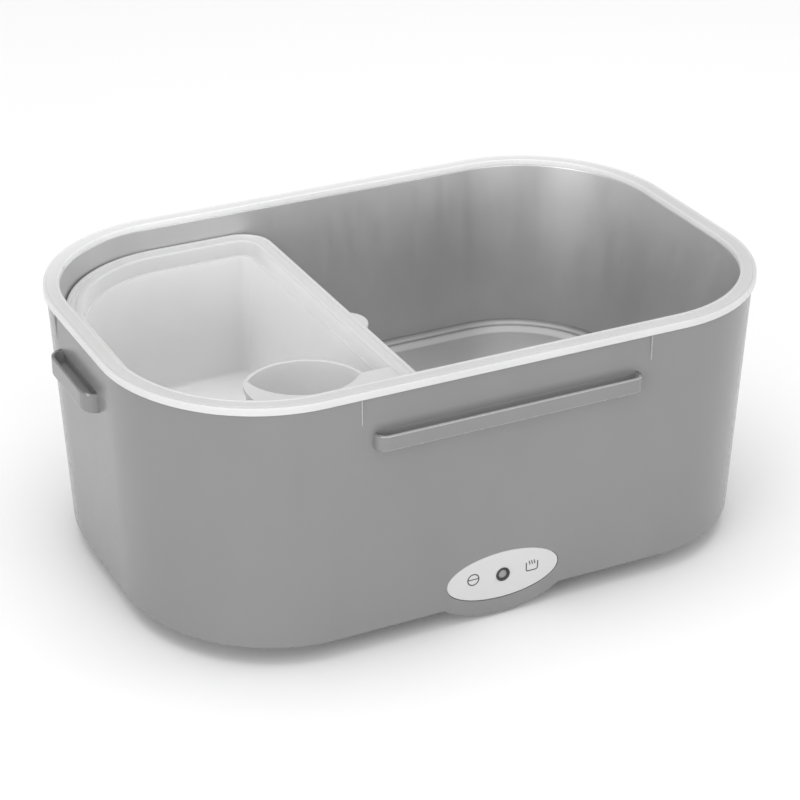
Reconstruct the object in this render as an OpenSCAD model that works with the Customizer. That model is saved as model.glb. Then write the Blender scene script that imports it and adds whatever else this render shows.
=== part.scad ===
// Electric lunch box: the open heating base, its lift-out tray and the food insert.
// Millimetres, +Z up, origin at the middle of the footprint on the resting plane.

/* [Rim and body] */
// Length over the rim ring
rim_l = 235; // [225:1:245]
// Width over the rim ring
rim_w = 158.7; // [152:0.1:165]
// Width of the rim ring's flat top
rim_band = 5.5; // [4.5:0.1:6]
// Height of the rim ring
rim_h = 3; // [2.5:0.1:4]
// Height of the moulded body from its lower edge to its top edge
body_h = 86.6; // [80:0.2:95]
// How far the rim ring stands out past the body
rim_over = 0.8; // [0.4:0.1:1.2]
// How far each end wall leans in over the body height
end_draft = 4; // [2:0.1:4.5]
// How far the front and back walls lean in over the body height
side_draft = 1.65; // [0.8:0.05:2]
// Corner radius along the length
corner_x = 52.7; // [48:0.1:56]
// Corner radius along the width
corner_y = 56; // [52:0.1:60]
// Wall thickness of the body
wall = 2; // [1.6:0.1:2.4]
// Clearance under the body's lower edge
stand_h = 6.8; // [6.6:0.1:9]

/* [Latch ledges] */
// Length of the front and back ledges
bar_l = 97; // [80:1:110]
// How far the front and back ledges stand out
bar_out = 4.2; // [3:0.1:5]
// Lower face of the front and back ledges above the body's lower edge
bar_z = 68.4; // [64:0.2:70]
// Height of the front and back ledges
bar_h = 5.4; // [5:0.1:7]
// Length of the end ledges
hook_l = 37.6; // [34:0.1:46]
// How far the end ledges stand out
hook_out = 4.6; // [3:0.1:5]
// Lower face of the end ledges above the body's lower edge
hook_z = 66.2; // [64:0.2:70]
// Height of the end ledges
hook_h = 7; // [6:0.1:8]
// How far towards the back the middle of the end ledges lies
hook_y = 4.6; // [0:0.1:6]
// Thickness of the lip in front of each ledge's channel
ledge_lip = 1.1; // [0.8:0.1:1.6]
// Depth of the catch recess that each channel cuts into the wall
catch_d = 1.3; // [0.8:0.1:1.4]

/* [Indicator] */
// Half length of the oval plate
plate_a = 20.9; // [18:0.1:24]
// Half height of the oval plate
plate_b = 8.8; // [7:0.1:9.2]
// Height of the oval's centre above the body's lower edge
plate_z = 8.9; // [8.5:0.1:10]
// Margin of the tongue round the oval
tongue = 6.1; // [5:0.1:6.4]
// Radius of the indicator bezel
bezel_r = 2.4; // [2:0.1:3]

/* [Tray and insert] */
// Steel thickness of the tray
tray_t = 0.5; // [0.4:0.1:0.6]
// Height of the tray floor above the body's lower edge
floor_z = 24.5; // [24:0.1:26]
// Top of the insert's flange above the body's lower edge
flange_z = 79.6; // [76:0.1:82]
// Where the insert's right flange edge lies
insert_x = -22.5; // [-40:0.5:-10]
// Wall thickness of the insert
insert_t = 1.2; // [1:0.1:1.6]
// Radius of the round scoop
scoop_r = 20.9; // [16:0.1:21]

/* [Power inlet] */
// Distance between the two contact pins
pin_pitch = 8.6; // [8.6:0.1:8.6]
// Diameter of a contact pin
pin_d = 2.4; // [2.3:0.1:2.4]

/* [Hidden] */
N = 12;                                  // steps in each quarter corner
e = 0.01;
top_l = rim_l - 2*rim_over;
top_w = rim_w - 2*rim_over;
bot_l = top_l - 2*end_draft;
bot_w = top_w - 2*side_draft;
lean = atan(side_draft/body_h);
lean_e = atan(end_draft/body_h);
floor_t = 1.6;                           // well floor
well_floor = 22;                         // top of the well floor
post = [[90,53],[-90,53],[90,-53],[-90,-53],[104,0],[-104,0]];
foot = [[72,42],[-72,42],[72,-42],[-72,-42]];
stud = [[73,41],[-73,41],[73,-41],[-73,-41]];
inlet_z = 11.4;
led_x = -0.5;
bar_mid = bar_z + bar_h/2;
hook_x = bot_l/2 + 70*end_draft/body_h - 6;   // middle of the end ledges' outline

// ---- outlines -------------------------------------------------------------
// rounded rectangle with oval corners
function rr(l, w, rx, ry, n=N) = [for (q=[0:3]) for (i=[0:n])
  let (a = 90*q + 90*i/n, sx = (q==0||q==3) ? 1 : -1, sy = q<2 ? 1 : -1)
  [sx*(l/2-rx) + rx*cos(a), sy*(w/2-ry) + ry*sin(a)]];
// the same, cut off on the right at xr with corner radius r
function dd(l, w, rx, ry, xr, r, n=N) = [for (q=[0:3]) for (i=[0:n])
  let (a = 90*q + 90*i/n, sy = q<2 ? 1 : -1, right = (q==0||q==3))
  right ? [xr - r + r*cos(a), sy*(w/2-r) + r*sin(a)]
        : [-l/2 + rx + rx*cos(a), sy*(w/2-ry) + ry*sin(a)]];
function oval(a, b, n=48) = [for (i=[0:n-1]) [a*cos(360*i/n), b*sin(360*i/n)]];
// body outline at height z, moved in by d
function body(z, d=0) = let (k = z/body_h)
  rr(bot_l + (top_l-bot_l)*k - 2*d, bot_w + (top_w-bot_w)*k - 2*d,
     corner_x - 1.1 + 1.1*k - d, corner_y - 0.4 + 0.4*k - d);
// end ledge's outline about its middle, moved in by d
function hook(d=0) = rr(2*(hook_out + 6 - d), hook_l - 2*d, hook_out - d, 6 - d, 8);
// tray's inner outline at height z, moved in by d (negative is outward)
tray_l0 = rim_l - 2*rim_band; tray_w0 = rim_w - 2*rim_band;
function tray(z, d=0) = let (k = (body_h + 0.9 - z)/(body_h + 0.9 - floor_z))
  rr(tray_l0 - 7*k - 2*d, tray_w0 - 1.7*k - 2*d,
     corner_x - rim_band + 0.6*k - d, corner_y - rim_band + 0.4*k - d);
// insert outline, moved in by d
function ins(d, rc=12) = dd(tray_l0 - 3 - 2*d, tray_w0 - 2.6 - 2*d,
     corner_x - rim_band - 0.7 - d, corner_y - rim_band - 0.8 - d, insert_x - d, max(rc - d, 0.8));

// solid through a stack of [height, outline]
module loft(s) {
  n = len(s[0][1]); m = len(s);
  polyhedron(points = [for (r=s) for (p=r[1]) [p[0], p[1], r[0]]],
    faces = concat([[for (i=[0:n-1]) i]], [[for (i=[n-1:-1:0]) (m-1)*n+i]],
      [for (k=[0:m-2]) for (i=[0:n-1]) let (j=(i+1)%n) [k*n+i, (k+1)*n+i, (k+1)*n+j, k*n+j]]));
}
// parts are drawn above the body's lower edge, then lifted to the resting plane
module up() translate([0, 0, stand_h]) children();
// the plane of the front wall: X along it, Y up it, Z out of it
module on_front() translate([0, -bot_w/2, 0]) rotate([90 + lean, 0, 0]) children();
module on_back() mirror([0,1,0]) on_front() children();
module on_end(s) translate([s*bot_l/2, 0, 0]) rotate([0, s*lean_e, 0]) rotate([90, 0, s*90]) children();
// round wire along a smooth line through points
function cr(a,b,c,d,t) = 0.5*((2*b) + (c-a)*t + (2*a-5*b+4*c-d)*t*t + (3*b-a-3*c+d)*t*t*t);
function smooth(p, k=4) = let (n=len(p)) concat([for (i=[0:n-2]) for (j=[0:k-1])
  cr(p[max(i-1,0)], p[i], p[i+1], p[min(i+2,n-1)], j/k)], [p[n-1]]);
function unit(v) = v/norm(v);
module wire(p0, r=0.9, sides=8) {
  p = smooth(p0); m = len(p);
  t = [for (i=[0:m-1]) unit(p[min(i+1,m-1)] - p[max(i-1,0)])];
  ring = [for (i=[0:m-1]) let (h = abs(t[i][2]) > 0.97 ? [1,0,0] : [0,0,1],
      u = unit(cross(t[i], h)), v = cross(u, t[i]))
      [for (k=[0:sides-1]) p[i] + r*(u*cos(360*k/sides) + v*sin(360*k/sides))]];
  polyhedron(points = [for (q=ring) for (v=q) v],
    faces = concat([[for (i=[0:sides-1]) i]], [[for (i=[sides-1:-1:0]) (m-1)*sides+i]],
      [for (k=[0:m-2]) for (i=[0:sides-1]) let (j=(i+1)%sides)
        [k*sides+i, (k+1)*sides+i, (k+1)*sides+j, k*sides+j]]));
}

// ---- housing ----------------------------------------------------------------
module outer_shell() color([0.60, 0.60, 0.60]) up() difference() {
  union() {
    difference() {
      union() {
        loft([[0, body(0, 0.4)], [0.4, body(0.4)], [body_h, body(body_h)]]);
        // front and back latch ledges
        for (s=[0,1]) mirror([0,s,0])
          translate([0, -(bot_w/2 + bar_mid*side_draft/body_h + bar_out) + 6, bar_z])
            linear_extrude(bar_h) polygon(rr(bar_l, 12, 4, 4, 8));
        // end ledges
        for (s=[-1,1]) translate([s*hook_x, hook_y, 0])
          loft([[hook_z, hook(1)], [hook_z + 0.35, hook(0.35)], [hook_z + 1, hook(0)], [hook_z + hook_h, hook(0)]]);
      }
      // inside of the walls, and the step that takes the well's flange
      loft([[-1, body(0, wall)], [0, body(0, wall)], [body_h - 1.5, body(body_h-1.5, wall)],
            [body_h - 1.5 + e, body(body_h, 1.4)], [body_h + 1, body(body_h, 1.4)]]);
      // catch channels in the ledges behind their lip, cut a little into the wall and reaching just above the ledge
      difference() {
        union() {
          for (s=[0,1]) mirror([0,s,0])
            translate([0, -(bot_w/2 + bar_mid*side_draft/body_h + bar_out) + 6, bar_z + 1.6])
              linear_extrude(bar_h - 1.1) polygon(rr(bar_l - 2*ledge_lip, 12 - 2*ledge_lip, 4 - ledge_lip, 4 - ledge_lip, 8));
          for (s=[-1,1]) translate([s*hook_x, hook_y, hook_z + 2.2])
            linear_extrude(hook_h - 1.6) polygon(hook(ledge_lip));
        }
        loft([[60, body(60, catch_d)], [body_h + 5, body(body_h + 5, catch_d)]]);
      }
    }
    // tongue that carries the indicator; its lower part hangs below the body's edge
    intersection() {
      on_front() translate([led_x, plate_z, -10.5]) {
        linear_extrude(9.9) polygon(oval(plate_a + tongue, plate_b + tongue, 64));
        translate([0,0,9.9]) linear_extrude(0.6) polygon(oval(plate_a + tongue - 0.4, plate_b + tongue - 0.4, 64));
      }
      translate([-60, -120, -20]) cube([120, 80, 40 + well_floor - floor_t - 20.2]);
    }
    // posts for the base screws, and their ribs
    for (p=post) {
      translate([p[0], p[1], 2.6]) cylinder(r=4, h=16, $fn=32);
      intersection() {
        translate([p[0], p[1], 2.6]) rotate([0, 0, atan2(p[1], p[0]) + (p[1]==0 ? 0 : sign(p[0]*p[1])*15)])
          translate([2, -1, 0]) cube([14, 2, 16]);
        loft([[2, body(2, 1)], [20, body(20, 1)]]);
      }
    }
    // pads for the inlet screws
    for (s=[-1,1]) on_back() translate([s*16, inlet_z, -8]) cylinder(r=3.2, h=7, $fn=32);
  }
  // pilot holes
  for (p=post) translate([p[0], p[1], 2]) cylinder(r=1.3, h=13, $fn=32);
  for (s=[-1,1]) on_back() translate([s*16, inlet_z, -8.5]) cylinder(r=1.2, h=6, $fn=32);
  // seat of the oval plate and bore of the bezel
  on_front() translate([led_x, plate_z, -1.1]) linear_extrude(3) polygon(oval(plate_a + 0.15, plate_b + 0.15, 64));
  on_front() translate([led_x, plate_z, -12]) cylinder(r=bezel_r + 0.05, h=14, $fn=48);
  // room behind the bezel for the board
  on_front() translate([led_x - 13, plate_z - 5, -11]) cube([26, 10, 6.5]);
  // clip landings, fading out downwards
  for (s=[0,1]) mirror([0,s,0]) translate([-52.3, -(bot_w/2 + 77*side_draft/body_h), 77])
    rotate([-2.6 + lean, 0, 0]) translate([0,-5,0]) cube([104.6, 5, 12]);
  for (s=[-1,1]) translate([s*(bot_l/2 + 74.5*end_draft/body_h), 0, 74.5])
    rotate([0, s*(lean_e - 3.2), 0]) translate([s > 0 ? 0 : -5, -24.7, 0]) cube([5, 49.4, 14]);
  // inlet cut-out
  on_back() translate([-11.5, inlet_z - 7, -6]) cube([23, 14, 8]);
}

module inner_well() color([0.66, 0.66, 0.66]) up() difference() {
  union() {
    loft([[well_floor - floor_t, body(well_floor - floor_t, wall + 0.35)], [body_h - 1.5, body(body_h - 1.5, wall + 0.35)]]);
    loft([[body_h - 1.5, body(body_h, 1.45)], [body_h, body(body_h, 1.45)]]);
  }
  loft([[well_floor, body(well_floor, wall + 1.55)], [body_h + 1, body(body_h, wall + 1.55)]]);
  translate([0,0,15]) linear_extrude(10) polygon(rr(140, 76, 12, 12, 6));
  for (p=stud) translate([p[0], p[1], 15]) cylinder(r=2.2, h=10, $fn=32);
}

module plate_gasket() color([0.75, 0.30, 0.22]) up() difference() {
  translate([0,0,well_floor]) linear_extrude(0.8) polygon(rr(160, 96, 12, 12, 6));
  translate([0,0,well_floor-1]) linear_extrude(3) polygon(rr(140, 76, 12, 12, 6));
  for (p=stud) translate([p[0], p[1], 20]) cylinder(r=2.2, h=5, $fn=32);
}

module heating_plate() color([0.80, 0.81, 0.82]) up() difference() {
  union() {
    translate([0,0,22.8]) linear_extrude(1.1) polygon(rr(160, 96, 12, 12, 6));
    for (p=stud) translate([p[0], p[1], 15.4]) cylinder(r=2, h=7.5, $fn=32);
    translate([0,0,17]) cylinder(r=4, h=6, $fn=32);
    for (s=[-1,1]) translate([-12 + s*12, 27, 19.4]) cylinder(r=3, h=3.5, $fn=32);
  }
  translate([0,0,16]) cylinder(r=1.65, h=6.4, $fn=32);
  for (s=[-1,1]) translate([-12 + s*12, 27, 19]) cylinder(r=1.3, h=3.6, $fn=32);
}

module plate_nuts() color([0.72, 0.72, 0.70]) up()
  for (p=stud) translate([p[0], p[1], well_floor - floor_t - 3.2]) difference() {
    cylinder(r=4.04, h=3.2, $fn=6);
    translate([0,0,-1]) cylinder(r=2.03, h=6, $fn=32);
  }

// aluminium case with the ceramic elements' end plugs and two terminal tabs
module heater(s) {
  translate([s*38 - 27, -12, 16.8]) cube([54, 24, 6]);
  for (y=[-6,6]) translate([s > 0 ? 65 : -71, y - 3.1, 19.4]) cube([6, 6.2, 0.8]);
}
module ptc_heater_left() color([0.78, 0.79, 0.80]) up() heater(-1);
module ptc_heater_right() color([0.78, 0.79, 0.80]) up() heater(1);

module mica_sheet() color([0.80, 0.74, 0.60]) up() difference() {
  translate([-60, -14, 16.2]) cube([120, 28, 0.6]);
  translate([0,0,10]) cylinder(r=4.2, h=10, $fn=32);
}

module heater_clamp() color([0.70, 0.71, 0.72]) up() difference() {
  union() {
    translate([-50, -8, 15.2]) cube([100, 16, 1]);
    for (s=[-1,1]) translate([-50, s*8 - 0.5, 13.6]) cube([100, 1, 2]);
  }
  translate([0,0,10]) cylinder(r=1.75, h=10, $fn=32);
}

module screw(r, h, hr, hh) {
  cylinder(r=hr, h=hh, $fn=36);
  translate([0,0,hh-e]) cylinder(r=r, h=h+e, $fn=32);
}
module slots(hr) { for (a=[0,90]) rotate([0,0,a]) translate([-hr*0.6, -0.45, -1]) cube([hr*1.2, 0.9, 2]); }
module pan_screw(r, h, hr, hh) difference() { screw(r, h, hr, hh); slots(hr); }

module clamp_screw() color([0.72, 0.72, 0.70]) up() translate([0,0,12.6]) pan_screw(1.6, 7, 3.6, 2.6);

module thermostat() color([0.20, 0.18, 0.17]) up() translate([-12, 27, 0]) {
  difference() {
    union() {
      translate([0,0,19.4]) cylinder(r=8, h=3.4, $fn=48);
      translate([0,0,18.6]) linear_extrude(0.8) polygon(rr(31, 9, 4.4, 4.4, 6));
      translate([0,0,12.4]) cylinder(r=7.4, h=6.3, $fn=48);
      for (s=[-1,1]) translate([s*4.5 - 0.4, -3.1, 6.6]) cube([0.8, 6.2, 6]);
    }
    for (s=[-1,1]) translate([s*12, 0, 15]) cylinder(r=3.1, h=3.6, $fn=32);
    for (s=[-1,1]) translate([s*12, 0, 18]) cylinder(r=1.4, h=3, $fn=32);
    for (s=[-1,1]) translate([s*12, 0, 19.39]) cylinder(r=3.1, h=6, $fn=32);
  }
}

module thermostat_screws() color([0.72, 0.72, 0.70]) up()
  for (s=[-1,1]) translate([-12 + s*12, 27, 16.8]) pan_screw(1.25, 3.8, 2.7, 1.8);

module fuse_sleeve() color([0.88, 0.86, 0.80]) up() translate([-24, -24, 19.9]) rotate([0,90,0]) difference() {
  cylinder(r=2.8, h=44, $fn=32);
  translate([0,0,-1]) cylinder(r=2.15, h=46, $fn=32);
}

module thermal_fuse() color([0.78, 0.78, 0.76]) up() translate([-24, -24, 19.9]) rotate([0,90,0]) {
  translate([0,0,16]) cylinder(r=2, h=12, $fn=32);
  translate([0,0,28-e]) cylinder(r=0.5, h=14, $fn=24);
  translate([0,0,2]) cylinder(r=0.5, h=14+e, $fn=24);
}

module inlet_socket() color([0.10, 0.10, 0.11]) up() on_back() difference() {
  union() {
    translate([-11.3, inlet_z - 6.8, -17]) cube([22.6, 13.6, 17]);
    difference() {
      translate([-20, inlet_z - 6.8, -10]) cube([40, 13.6, 1.9]);
      for (s=[-1,1]) translate([s*16, inlet_z, -12]) cylinder(r=1.5, h=5, $fn=32);
    }
  }
  // figure-of-eight mouth
  for (s=[-1,1]) translate([s*pin_pitch/2, inlet_z, -13]) cylinder(r=4.1, h=14, $fn=48);
  translate([-pin_pitch/2, inlet_z - 3.4, -13]) cube([pin_pitch, 6.8, 14]);
  for (s=[-1,1]) translate([s*pin_pitch/2, inlet_z, -18]) cylinder(r=pin_d/2 + 0.01, h=10, $fn=32);
}

module inlet_pins() color([0.82, 0.74, 0.45]) up() on_back() for (s=[-1,1]) {
  translate([s*pin_pitch/2, inlet_z, -17]) cylinder(r=pin_d/2, h=13, $fn=32);
  translate([s*pin_pitch/2 - 0.4, inlet_z - 2.4, -23]) cube([0.8, 4.8, 6.01]);
}

module inlet_screws() color([0.72, 0.72, 0.70]) up() on_back() for (s=[-1,1])
  translate([s*16, inlet_z, -11.8]) pan_screw(1.15, 7, 2.7, 1.8);

// ---- indicator ----------------------------------------------------------------
module indicator_plate() color([0.84, 0.84, 0.84]) up() on_front() difference() {
  translate([led_x, plate_z, -1.1]) {
    linear_extrude(0.75) polygon(oval(plate_a, plate_b, 64));
    translate([0,0,0.75]) linear_extrude(0.25) polygon(oval(plate_a - 0.25, plate_b - 0.25, 64));
  }
  translate([led_x, plate_z, -5]) cylinder(r=bezel_r + 0.05, h=10, $fn=48);
}

module led_bezel() color([0.16, 0.16, 0.17]) up() on_front() translate([led_x, plate_z, 0]) difference() {
  translate([0,0,-4.3]) cylinder(r=bezel_r, h=4.5, $fn=48);
  translate([0,0,-6]) cylinder(r=1.7, h=8, $fn=48);
}

module led_lens() color([0.62, 0.62, 0.62]) up() on_front() translate([led_x, plate_z, 0]) {
  translate([0,0,-2.6]) cylinder(r=1.68, h=2.4, $fn=48);
}

module indicator_led() color([0.85, 0.35, 0.30]) up() on_front() translate([led_x, plate_z, 0]) {
  translate([0,0,-5.2]) cylinder(r=1.45, h=2.5, $fn=32);
  for (s=[-1,1]) translate([s*0.7, 0, -7.4]) cylinder(r=0.25, h=2.3, $fn=16);
}

module led_board() color([0.16, 0.36, 0.22]) up() on_front() translate([led_x, plate_z, 0]) difference() {
  translate([-12, -4.5, -8.4]) cube([24, 9, 1]);
  for (s=[-1,1]) translate([s*8, 0, -9]) cylinder(r=0.95, h=3, $fn=24);
}

module dropper_resistor() color([0.70, 0.60, 0.45]) up() on_front() translate([led_x + 6.4, plate_z + 2.9, -6.15])
  rotate([0,90,0]) translate([0,0,-2.6]) cylinder(r=1.2, h=5.2, $fn=24);

// ---- wiring -------------------------------------------------------------------
module live_wire() color([0.45, 0.28, 0.18]) up()
  wire([[-4.3, 53.7, 11.3], [-4.6, 46, 11], [-8, 40, 9.8], [-15, 34.4, 9.2], [-16.5, 30.9, 9.2]]);
module neutral_wire() color([0.20, 0.35, 0.60]) up()
  wire([[4.3, 53.7, 11.3], [6, 46, 9.4], [12, 36, 6.4], [20, 22, 6.4], [32, 2, 7.4], [40, -16, 9], [34, -24, 15], [27, -24, 19.2], [21.4, -24, 19.9]], 0.8);
module link_wire() color([0.85, 0.85, 0.82]) up() {
  wire([[-7.5, 30.9, 9.6], [0, 34.5, 9.8], [24, 33, 10.4], [56, 22, 13], [72, 12, 16], [74.5, 8, 18.4], [72.4, 6, 19.3]]);
  wire([[-72.4, 6, 19.4], [-75, 10, 18], [-72, 22, 13], [-50, 34, 8.6], [-26, 38, 6.2], [-12, 37, 6], [-7.5, 33, 6.6], [-7.5, 31, 7.4]], 0.8);
  wire([[-22.6, -24, 19.9], [-30, -24, 19], [-50, -22, 17.6], [-70, -14, 17.6], [-75, -8, 18.6], [-72.4, -6, 19.4]], 0.8);
  wire([[72.4, -4.4, 19.6], [76, -4.8, 19], [78, -9, 16.6], [72, -22, 13.4], [50, -29, 12.6], [36, -29, 14], [30, -28.6, 17.6], [24, -26.6, 19.2], [21.6, -25.9, 19.6]], 0.6);
}
module indicator_leads() color([0.78, 0.20, 0.18]) up() {
  wire([[led_x + 8, -70.4, plate_z], [led_x + 8, -66, 8.5], [14, -52, 6.6], [26, -42, 6], [52, -34, 6], [70, -24, 7.4], [75.5, -15, 13], [74.6, -10.6, 18.4], [72.3, -8.4, 19.5]], 0.55, 6);
  wire([[led_x - 8, -70.4, plate_z], [led_x - 8, -66, 8.5], [-8, -52, 6.6], [-4, -40, 6], [14, -33.5, 6], [46, -28, 6.2], [64, -20, 8], [72.4, -12.6, 14], [73.6, -8, 18], [72.2, -6.6, 19.5]], 0.55, 6);
}

// ---- base ---------------------------------------------------------------------
module base_cover() color([0.30, 0.30, 0.31]) up() difference() {
  union() {
    loft([[0.4, body(0, wall + 0.3)], [2.4, body(2, wall + 0.3)]]);
    for (p=foot) translate([p[0], p[1], -5.2]) cylinder(r=9, h=6, $fn=48);
    translate([-64, -36, 2.4 - e]) cube([128, 2, 2.2]);
    translate([-64, 34, 2.4 - e]) cube([50, 2, 2.2]);
  }
  for (p=foot) translate([p[0], p[1], -6]) cylinder(r=7.1, h=1.5, $fn=48);
  for (p=foot) translate([p[0], p[1], -4.6]) cylinder(r=5.5, h=1.4, $fn=48);
  for (p=foot) translate([p[0], p[1], -2.2]) cylinder(r=7.2, h=8, $fn=48);
  for (p=post) {
    translate([p[0], p[1], -1]) cylinder(r=1.8, h=5, $fn=32);
    translate([p[0], p[1], 0]) cylinder(r=3.3, h=1.2, $fn=32);
  }
  translate([-29.2, -80, -8]) cube([57.4, 80 - 65.9, 16]);
  for (i=[-4:4]) translate([i*9 - 1.5, 46, -1]) cube([3, 14, 6]);
}

module base_screws() color([0.72, 0.72, 0.70]) up()
  for (p=post) translate([p[0], p[1], -0.6]) pan_screw(1.25, 10.5, 3, 1.8);

module rubber_feet() color([0.12, 0.12, 0.12]) up()
  for (p=foot) translate([p[0], p[1], -stand_h]) {
    cylinder(r=7, h=stand_h - 4.55, $fn=48);
    translate([0,0,stand_h-4.6]) cylinder(r=5.4, h=1.3, $fn=48);
  }

// ---- tray ---------------------------------------------------------------------
fil = [0, 22.5, 45, 67.5, 90];
module steel_tray() color([0.72, 0.72, 0.72]) up() difference() {
  union() {
    loft(concat([for (a=fil) [floor_z - tray_t + 7.5*(1 - cos(a)), tray(floor_z + 7*(1 - cos(a)), -tray_t + 7.5*(1 - sin(a)))]],
                [[body_h + 0.9, tray(body_h + 0.9, -tray_t)]]));
    loft([[body_h + 0.4, tray(body_h + 0.9, -3.4)], [body_h + 0.9, tray(body_h + 0.9, -3.4)]]);
  }
  loft(concat([for (a=fil) [floor_z + 7*(1 - cos(a)), tray(floor_z + 7*(1 - cos(a)), 7*(1 - sin(a)))]],
              [[body_h + 2, tray(body_h + 0.9, 0)]]));
}

module tray_rim() color([0.88, 0.88, 0.88]) up() difference() {
  loft([[body_h, rr(rim_l, rim_w, corner_x, corner_y)], [body_h + rim_h - 0.7, rr(rim_l, rim_w, corner_x, corner_y)],
        [body_h + rim_h, rr(rim_l - 1.2, rim_w - 1.2, corner_x - 0.6, corner_y - 0.6)]]);
  loft([[body_h + 0.89, tray(body_h + 0.9, 0)], [body_h + 4, tray(body_h + 0.9, 0)]]);
  loft([[body_h - 1, tray(body_h + 0.9, -tray_t - 0.01)], [body_h + 0.5, tray(body_h + 0.9, -tray_t - 0.01)]]);
  loft([[body_h + 0.39, tray(body_h + 0.9, -3.41)], [body_h + 0.9, tray(body_h + 0.9, -3.41)]]);
}

// ---- insert -------------------------------------------------------------------
sc = [-59.1, -51.4];
module insert_box() color([0.90, 0.90, 0.90]) up() difference() {
  union() {
    difference() {
      union() {
        // flange with its turned-down edge
        loft([[flange_z - 2.6, ins(0.2)], [flange_z - 0.3, ins(0)], [flange_z, ins(0.3)]]);
        // step and walls
        loft([[flange_z - 7, ins(5.2)], [flange_z - 1, ins(4.6)]]);
        loft([[floor_z + 1.2, ins(10)], [floor_z + 3, ins(8.2)], [flange_z - 6, ins(6)]]);
        // lift tab
        intersection() {
          translate([insert_x - 4, -12, flange_z - 1.6]) cylinder(r=8.5, h=1.6, $fn=64);
          translate([insert_x - 0.5, -30, 0]) cube([20, 40, 100]);
        }
      }
      loft([[flange_z - 3, ins(0.2 + insert_t)], [flange_z - 1.4, ins(insert_t)]]);
    }
    loft([[flange_z - 7, ins(5.2)], [flange_z - 1, ins(4.6)]]);
    // foot ring
    difference() {
      loft([[floor_z + 0.1, ins(11)], [floor_z + 1.3, ins(10.6)]]);
      loft([[floor_z - 1, ins(13)], [floor_z + 2, ins(13)]]);
    }
  }
  inside(flange_z + 1);
}
// inside of the insert up to height top
module inside(top) loft([[floor_z + 2.7, ins(10)], [floor_z + 4, ins(9.4)], [flange_z - 5.6, ins(7.2)],
          [flange_z - 5.4, ins(6.4)], [top, ins(5.8)]]);
// scoop pocket: its round far wall, its left side, its near wall and a dished bottom
module pocket(t, top) intersection() {
  translate([sc[0], sc[1], 40]) cylinder(r=scoop_r - t, h=top - 40, $fn=96);
  translate([sc[0] + 2.1, sc[1] + 3.9, 40]) cylinder(r=scoop_r - 0.4 - t, h=top - 40, $fn=96);
  translate([sc[0] + 4.9, sc[1] + 15, 40]) cylinder(r=19.7 - t, h=top - 40, $fn=96);
  translate([sc[0] + 3.1, sc[1] + 8.4, flange_z + 9]) sphere(r=27.1 - t, $fn=96);
}
// ledge across the front right corner of the insert, with the pocket hanging from it
module insert_scoop() color([0.90, 0.90, 0.90]) up() difference() {
  union() {
    intersection() {
      union() {
        intersection() {
          translate([sc[0], sc[1], flange_z - 1.4]) cylinder(r=scoop_r, h=1.4, $fn=96);
          translate([sc[0] + 2.1, sc[1] + 3.9, flange_z - 1.4]) cylinder(r=scoop_r - 0.4, h=1.4, $fn=96);
        }
        translate([sc[0], -90, flange_z - 1.4]) cube([50, 90 + sc[1] + 2.4, 1.4]);
      }
      inside(flange_z + 1);
    }
    pocket(0, flange_z);
  }
  pocket(1.1, flange_z + 1);
}

outer_shell();
inner_well();
plate_gasket();
heating_plate();
plate_nuts();
ptc_heater_left();
ptc_heater_right();
mica_sheet();
heater_clamp();
clamp_screw();
thermostat();
thermostat_screws();
fuse_sleeve();
thermal_fuse();
inlet_socket();
inlet_pins();
inlet_screws();
indicator_plate();
led_bezel();
led_lens();
indicator_led();
led_board();
dropper_resistor();
live_wire();
neutral_wire();
link_wire();
indicator_leads();
base_cover();
base_screws();
rubber_feet();
steel_tray();
tray_rim();
insert_box();
insert_scoop();
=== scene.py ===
"""Looks of the electric lunch box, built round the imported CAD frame."""

import math

import bmesh
import bpy
import numpy as np
from mathutils import Matrix, Vector


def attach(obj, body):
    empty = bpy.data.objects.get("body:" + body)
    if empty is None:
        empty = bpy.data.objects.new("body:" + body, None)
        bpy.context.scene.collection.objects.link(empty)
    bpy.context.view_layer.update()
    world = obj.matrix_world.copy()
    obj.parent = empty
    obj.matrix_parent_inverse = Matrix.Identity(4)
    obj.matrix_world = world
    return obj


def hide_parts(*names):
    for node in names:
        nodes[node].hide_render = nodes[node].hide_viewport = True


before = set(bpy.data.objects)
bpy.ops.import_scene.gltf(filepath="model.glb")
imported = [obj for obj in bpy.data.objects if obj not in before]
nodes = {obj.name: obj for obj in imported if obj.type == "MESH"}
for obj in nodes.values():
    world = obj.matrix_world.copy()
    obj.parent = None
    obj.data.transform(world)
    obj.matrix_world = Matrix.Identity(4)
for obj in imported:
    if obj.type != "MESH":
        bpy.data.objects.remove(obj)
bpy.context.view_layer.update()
scene = bpy.context.scene

# ---------------------------------------------------------------------------
# sizes, in millimetres above the body's lower edge (as in part.scad)
# ---------------------------------------------------------------------------
RIM_L, RIM_W, BAND, RIM_OVER = 235.0, 158.7, 5.5, 0.8
BODY_H, END_D, SIDE_D = 86.6, 4.0, 1.65
CX, CY, WALL, STAND = 52.7, 56.0, 2.0, 6.8
TOP_L, TOP_W = RIM_L - 2 * RIM_OVER, RIM_W - 2 * RIM_OVER
BOT_L, BOT_W = TOP_L - 2 * END_D, TOP_W - 2 * SIDE_D
LEAN, LEAN_E = math.atan(SIDE_D / BODY_H), math.atan(END_D / BODY_H)
FLOOR_Z, FLANGE_Z, INSERT_X = 24.5, 79.6, -22.5
WELL_FLOOR, FLOOR_T = 22.0, 1.6
LED_X, PLATE_Z = -0.5, 8.9
POSTS = [(90, 53), (-90, 53), (90, -53), (-90, -53), (104, 0), (-104, 0)]
STUDS = [(73, 41), (-73, 41), (73, -41), (-73, -41)]
SC = (-59.1, -51.4)
N = 22


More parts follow.
